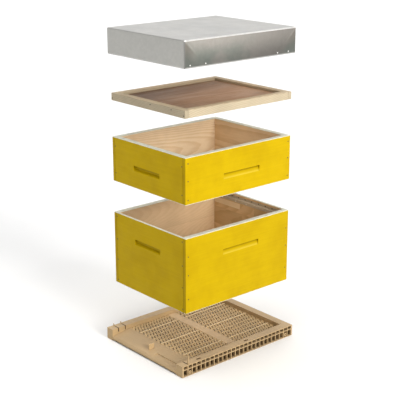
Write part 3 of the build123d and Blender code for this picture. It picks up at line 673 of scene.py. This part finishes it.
runner_zinc = galvanised("runner_zinc", (0.53, 0.44, 0.315), (0.42, 0.345, 0.245), 0.15)
for name in ("brood_front_runner", "brood_rear_runner"):
    dress(name, runner_zinc)
    soften(name, 0.25 * MM)


# ---- Inner cover ---------------------------------------------------------------------

for number, side in enumerate(("front", "rear", "left", "right")):
    name = f"inner_{side}_rail"
    along = "x" if side in ("front", "rear") else "y"
    rail_pine = bare_wood(f"inner_{side}_pine", along, 120.0 + 7.0 * number, CREAM_LIGHT,
                          CREAM_DARK, top_painted_light=1.3, ring=0.004)
    dress(name, rail_pine)
    soften(name, 2.2 * MM, 3)
dress("inner_panel", hardboard("inner_panel_board"))


# ---- Roof woodwork -------------------------------------------------------------------

ROOF_WOOD_ROUNDING = 4 * MM   # follows the inside of the sheet's bends
rim_pine = bare_wood("rim_pine", "y", 210.0, PINE_LIGHT, PINE_DARK)
for side in WALLS:
    dress(f"roof_{side}_rim", rim_pine)
    soften(f"roof_{side}_rim", ROOF_WOOD_ROUNDING, 3)
dress("roof_board", bare_wood("roof_board_pine", "y", 230.0, PINE_LIGHT, PINE_DARK, 0.11))
soften("roof_board", ROOF_WOOD_ROUNDING, 3)


# ---- Floor ---------------------------------------------------------------------------

rail_plastic = moulded("rail_plastic", rail=True)
deck_plastic = moulded("deck_plastic", lines=True)
bar_plastic = moulded("bar_plastic")
# The crossbar is a paler copy of the rails' plastic: painted light where the brood box above shades
# it.
crossbar_lit_plastic = moulded("crossbar_lit_plastic", CROSSBAR_LIT_TAN)
for name in ("floor_right_rail", "floor_left_rail", "floor_rear_rail"):
    dress(name, rail_plastic)
    soften(name, 0.7 * MM)
for name in ("gate_guide_left", "gate_guide_left_rear", "gate_guide_right", "entrance_fin"):
    dress(name, bar_plastic)
    soften(name, 0.5 * MM)
dress("floor_crossbar", crossbar_lit_plastic)
soften("floor_crossbar", 0.8 * MM)
dress("floor_deck", deck_plastic)
soften("floor_deck", 0.6 * MM)


# ---- Slotted screens -----------------------------------------------------------------

ROW_PITCH = 13.2 * MM
ROW_MARGIN = 8 * MM           # at least, from the last row's middle to the panel's edge
COLUMNS = 14
COLUMN_PITCH = 25.6 * MM
SLOT_HALF_LENGTH = 9.5 * MM
END_SLOT_HALF_LENGTH = 3.5 * MM
SLOT_HALF_WIDTH = 1.75 * MM
SLANT = ROW_PITCH / COLUMN_PITCH
RIBS = (-128 * MM, 0.0, 128 * MM)
RIB_FOOT = 1.7 * MM
RIB_SHOULDER = 1.2 * MM
RIB_RISE = 2.0 * MM
RIB_BEVEL = 0.4 * MM
WEB_RISE = 0.9 * MM


def new_piece(name, points, faces, body, material, slot, *replaced):
    """A mesh piece that rides on a CAD body and stands for CAD nodes."""
    mesh = bpy.data.meshes.new(name)
    mesh.from_pydata(points, [], faces)
    mesh.validate()
    mesh.update()
    mesh.materials.append(material)
    piece = bpy.data.objects.new(name, mesh)
    bpy.context.scene.collection.objects.link(piece)
    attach(piece, body)
    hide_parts(*replaced)
    return piece


def screen_columns(low, high):
    """The middle and half length of the slots in each column, from left to right."""
    outer = COLUMNS * COLUMN_PITCH / 2
    columns = [(COLUMN_PITCH * (index + 0.5) - outer, SLOT_HALF_LENGTH) for index in range(COLUMNS)]
    left_end = ((low.x - outer) / 2, END_SLOT_HALF_LENGTH)
    right_end = ((outer + high.x) / 2, END_SLOT_HALF_LENGTH)
    return [left_end, *columns, right_end]


def screen_rows(low, high):
    """The middle of each row of slots, from front to rear."""
    count = int((high.y - low.y - 2 * ROW_MARGIN) / ROW_PITCH + 1e-6) + 1
    first = (low.y + high.y - (count - 1) * ROW_PITCH) / 2
    return [first + number * ROW_PITCH for number in range(count)]


def screen_lines(low, high, columns, rows):
    """The places of a screen's grid lines, across and along the hive."""
    across = {round(low.x, 6), round(high.x, 6)}
    for middle, half in columns:
        across |= {round(middle + half * share, 6) for share in (-1.0, -0.5, 0.0, 0.5, 1.0)}
    rib_lines = (-RIB_FOOT, -RIB_SHOULDER, 0.0, RIB_SHOULDER, RIB_FOOT)
    for rib in RIBS:
        across |= {round(rib + side, 6) for side in rib_lines}
    along = {low.y, high.y}
    for row in rows:
        along |= {row - SLOT_HALF_WIDTH, row + SLOT_HALF_WIDTH}
    for row in rows[:-1]:
        along |= {row + ROW_PITCH * share for share in (0.22, 0.34, 0.5, 0.66, 0.78)}
    return sorted(across), sorted(along)


def slant_offset(x, columns):
    """How far forward or back the slanted slots put a grid line at x."""
    for middle, half in columns:
        if abs(x - middle) <= half + 1e-6:
            return (middle - x) * SLANT
    before = [(middle + half, -half * SLANT) for middle, half in columns if middle + half < x]
    after = [(middle - half, half * SLANT) for middle, half in columns if middle - half > x]
    if not before or not after:
        return 0.0
    (start, drop), (end, rise) = before[-1], after[0]
    return drop + (rise - drop) * (x - start) / (end - start)


def screen_level(x, y, top, rows):
    """The upper surface of a screen: a low ridge between two rows of slots, and the ribs."""
    nearest = min(abs(y - row) for row in rows)
    share = (nearest - SLOT_HALF_WIDTH) / (ROW_PITCH - 2 * SLOT_HALF_WIDTH)
    ridge = WEB_RISE * max(0.0, math.sin(share * math.pi))
    if nearest > ROW_PITCH / 2 + 1e-6:
        ridge = 0.0
    gap = min(abs(x - rib) for rib in RIBS)
    if gap < RIB_FOOT - 1e-6:
        return top + (RIB_RISE if gap < RIB_SHOULDER - 1e-6 else RIB_RISE - RIB_BEVEL)
    return top + ridge


def in_slot(x, y, columns, rows):
    """Whether a point of the unslanted grid is inside one of the slots."""
    on_row = min(abs(y - row) for row in rows) < SLOT_HALF_WIDTH
    return on_row and any(abs(x - middle) < half for middle, half in columns)


def slotted_screen(name, node, material):
    """A closed plate with slanted slots, ridged webs and lengthwise ribs."""
    low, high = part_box(node)
    columns, rows = screen_columns(low, high), screen_rows(low, high)
    across, along = screen_lines(low, high, columns, rows)
    top, under = low.z + SCREEN_PLATE, low.z
    last_line = len(along) - 1
    solid = set()
    for i, (x0, x1) in enumerate(zip(across, across[1:])):
        for j, (y0, y1) in enumerate(zip(along, along[1:])):
            if not in_slot((x0 + x1) / 2, (y0 + y1) / 2, columns, rows):
                solid.add((i, j))
    points, index = [], {}

    def corner(i, j, upper):
        key = (i, j, upper)
        if key not in index:
            index[key] = len(points)
            x, y = across[i], along[j]
            slant = slant_offset(x, columns) if 0 < j < last_line else 0.0
            points.append((x, y + slant, screen_level(x, y, top, rows) if upper else under))
        return index[key]

    faces = []
    for i, j in sorted(solid):
        ring = [(i, j), (i + 1, j), (i + 1, j + 1), (i, j + 1)]
        faces.append([corner(*place, True) for place in ring])
        faces.append([corner(*place, False) for place in reversed(ring)])
        beside = [(i, j - 1), (i + 1, j), (i, j + 1), (i - 1, j)]
        for side, neighbour in enumerate(beside):
            if neighbour not in solid:
                a, b = ring[side], ring[(side + 1) % 4]
                upper_edge = [corner(*b, True), corner(*a, True)]
                faces.append([*upper_edge, corner(*a, False), corner(*b, False)])
    return new_piece(name, points, faces, "floor", material, "tan_plastic", node)


screen_plastic = moulded("screen_plastic", SCREEN_TAN, screen=True)
slotted_screen("screen_front", "floor_screen_front", screen_plastic)
slotted_screen("screen_rear", "floor_screen_rear", screen_plastic)


# ---- Folded roof sheet ---------------------------------------------------------------

BEND = 4.5 * MM
BEND_ANGLES = (15, 30, 45)    # degrees, at which a bend is divided
FOLD_RIDGE = 0.9 * MM
FOLD_FLAP = 0.7 * MM
LAP_STEP = 0.25 * MM
TAB_EDGE = 11 * MM            # the lapped tab's free edge, from the roof's end
GRID_X = 14 * MM
GRID_Y = 12 * MM
GRID_ROWS = 12


def bend_place(edge, angle):
    """Where a grid line goes on the way round a bend that ends at edge."""
    return edge - BEND * (1 - math.tan(math.radians(angle)))


def bend_lines(half, centre, pitch):
    """Grid lines across a face: close together in the bends, about pitch apart between them."""
    edge = [bend_place(half, angle) for angle in (0, *BEND_ANGLES)]
    lap = [half - TAB_EDGE - 0.6 * MM, half - TAB_EDGE + 0.6 * MM]
    inner = half - TAB_EDGE - 4 * MM
    count = max(2, round(2 * inner / pitch))
    middle = [-inner + 2 * inner * k / count for k in range(count + 1)]
    outer = sorted(set(edge + lap))
    low_side = [centre - place for place in reversed(outer)]
    return low_side + [centre + place for place in middle + outer]


def fold_offset(y, z):
    """How far a long side stands proud: the folded corner flap under it, its ridge, its lap."""
    from_end = ROOF_HALF_LENGTH - abs(y - HIVE_Y)
    down = ROOF_HIGH.z + STEEL - z
    if from_end < BEND or down < BEND:
        return 0.0
    across = (from_end - down) / math.sqrt(2)
    ridge = FOLD_RIDGE * math.exp(-((across / (7 * MM)) ** 2)) * math.exp(-down / (45 * MM))
    under_fold = min(1.0, max(0.0, 0.5 - across / (24 * MM)))
    flap = FOLD_FLAP * under_fold * max(0.0, 1 - down / (75 * MM))
    lap = LAP_STEP if from_end < TAB_EDGE and down > from_end else 0.0
    fade_in = min(1.0, (from_end - BEND) / (3 * MM), (down - BEND) / (3 * MM))
    return (ridge + flap + lap) * fade_in


def rounded_place(x, y, z):
    """A point of the square-edged cap moved onto the rounded and folded one."""
    top = ROOF_HIGH.z + STEEL
    inner = Vector((
        max(-ROOF_HALF_WIDTH + BEND, min(ROOF_HALF_WIDTH - BEND, x)),
        max(HIVE_Y - ROOF_HALF_LENGTH + BEND, min(HIVE_Y + ROOF_HALF_LENGTH - BEND, y)),
        min(z, top - BEND),
    ))
    away = Vector((x, y, z)) - inner
    place = inner + away.normalized() * BEND
    if abs(x) > ROOF_HALF_WIDTH - 1e-6:
        place.x += math.copysign(fold_offset(y, z), x)
    return place


def roof_sheet(material):
    """The folded steel sheet: a rounded cap, open below, with folded corners."""
    top, bottom = ROOF_HIGH.z + STEEL, ROOF_LOW.z
    right, left = ROOF_HALF_WIDTH, -ROOF_HALF_WIDTH
    near, far = HIVE_Y - ROOF_HALF_LENGTH, HIVE_Y + ROOF_HALF_LENGTH
    xs = bend_lines(ROOF_HALF_WIDTH, 0.0, GRID_X)
    ys = bend_lines(ROOF_HALF_LENGTH, HIVE_Y, GRID_Y)
    zs = [bottom + (top - BEND - bottom) * k / GRID_ROWS for k in range(GRID_ROWS + 1)]
    zs += [bend_place(top, angle) for angle in BEND_ANGLES]
    points, index, faces = [], {}, []

    def corner(x, y, z):
        key = (round(x, 6), round(y, 6), round(z, 6))
        if key not in index:
            index[key] = len(points)
            points.append(tuple(rounded_place(x, y, z)))
        return index[key]

    def face(*corners):
        faces.append([corner(*place) for place in corners])

    for x0, x1 in zip(xs, xs[1:]):
        for y0, y1 in zip(ys, ys[1:]):
            face((x0, y0, top), (x1, y0, top), (x1, y1, top), (x0, y1, top))
    for z0, z1 in zip(zs, zs[1:]):
        for y0, y1 in zip(ys, ys[1:]):
            face((right, y0, z0), (right, y1, z0), (right, y1, z1), (right, y0, z1))
            face((left, y1, z0), (left, y0, z0), (left, y0, z1), (left, y1, z1))
        for x0, x1 in zip(xs, xs[1:]):
            face((x0, near, z0), (x1, near, z0), (x1, near, z1), (x0, near, z1))
            face((x1, far, z0), (x0, far, z0), (x0, far, z1), (x1, far, z1))
    sheet = new_piece("roof_sheet", points, faces, "roof", material, "zinc_sheet", "roof_skin")
    for polygon in sheet.data.polygons:
        polygon.use_smooth = True
    thick = sheet.modifiers.new("thickness", "SOLIDIFY")
    thick.thickness = STEEL
    thick.offset = -1.0
    return sheet


zinc = galvanised("zinc", (0.55, 0.54, 0.515), (0.49, 0.487, 0.47), 0.6, roof=True)
roof_sheet(zinc)


# ---- Stage, light and camera ---------------------------------------------------------

STAGE_SIZE = 30.0
WHITE_WALL = ((-0.72, 0.63, 0.29), 0.55, 0.92)   # an axis, and how far along it dim and white lie
HORIZON = ((0.0, 0.0, 1.0), 0.40, 0.16)


def stage_floor():
    """A wide white paper floor."""
    mesh = bpy.data.meshes.new("stage_floor")
    builder = bmesh.new()
    bmesh.ops.create_grid(builder, x_segments=8, y_segments=8, size=STAGE_SIZE)
    builder.to_mesh(mesh)
    builder.free()
    ground = bpy.data.objects.new("stage_floor", mesh)
    bpy.context.scene.collection.objects.link(ground)
    t = Tree("stage_paper")
    tone = t.ramp(t.noise(t.place, 2.0, 2.0), 0.3, 0.7, 0.985, 1.0)
    mesh.materials.append(t.finish(t.shade((0.96, 0.96, 0.96), tone), 0.85))
    ground.location.z = -0.5 * MM


def soft_sun(name, towards, spread, strength, colour=(1.0, 1.0, 1.0)):
    """A broad, distant studio light that shines along towards."""
    data = bpy.data.lights.new(name, "SUN")
    data.angle = math.radians(spread)
    data.energy = strength
    data.color = colour
    lamp = bpy.data.objects.new(name, data)
    lamp.rotation_euler = Vector(towards).to_track_quat("-Z", "Y").to_euler()
    bpy.context.scene.collection.objects.link(lamp)


def set_world(dim, bright):
    """A studio dim overhead, with a white band around the horizon and a white wall far behind."""
    world = bpy.data.worlds.new("studio")
    bpy.context.scene.world = world
    world.use_nodes = True
    tree = world.node_tree
    background = tree.nodes["Background"]
    background.inputs["Color"].default_value = (1.0, 1.0, 1.0, 1.0)
    direction = tree.nodes.new("ShaderNodeTexCoord").outputs["Generated"]
    larger = tree.nodes.new("ShaderNodeMath")
    larger.operation = "MAXIMUM"
    for number, (axis, from_dark, from_white) in enumerate((WHITE_WALL, HORIZON)):
        towards = tree.nodes.new("ShaderNodeVectorMath")
        towards.operation = "DOT_PRODUCT"
        towards.inputs[1].default_value = axis
        tree.links.new(direction, towards.inputs[0])
        ramp = tree.nodes.new("ShaderNodeMapRange")
        ramp.interpolation_type = "SMOOTHSTEP"
        limits = {"From Min": from_dark, "From Max": from_white, "To Min": dim, "To Max": bright}
        for name, value in limits.items():
            ramp.inputs[name].default_value = value
        tree.links.new(towards.outputs["Value"], ramp.inputs["Value"])
        tree.links.new(ramp.outputs[0], larger.inputs[number])
    tree.links.new(larger.outputs[0], background.inputs["Strength"])


def set_camera():
    """The camera looks down at the hive's near right-hand corner."""
    data = bpy.data.cameras.new("camera")
    data.sensor_width = 36.0
    data.lens = 91.39
    data.clip_end = 100.0
    camera = bpy.data.objects.new("camera", data)
    pitch, yaw = math.radians(17.26), math.radians(49.03)
    camera.location = (2.728, -2.3685, 1.6775)
    camera.rotation_euler = (math.pi / 2 - pitch, 0.0, yaw)
    bpy.context.scene.collection.objects.link(camera)
    bpy.context.scene.camera = camera


stage_floor()
soft_sun("key", (-0.93, 0.0, -0.36), 28.0, 2.75, (1.0, 0.985, 0.96))
soft_sun("overhead", (0.0, 0.1, -1.0), 50.0, 2.0)
set_world(0.08, 0.97)
set_camera()
bpy.context.scene.view_settings.view_transform = "Standard"
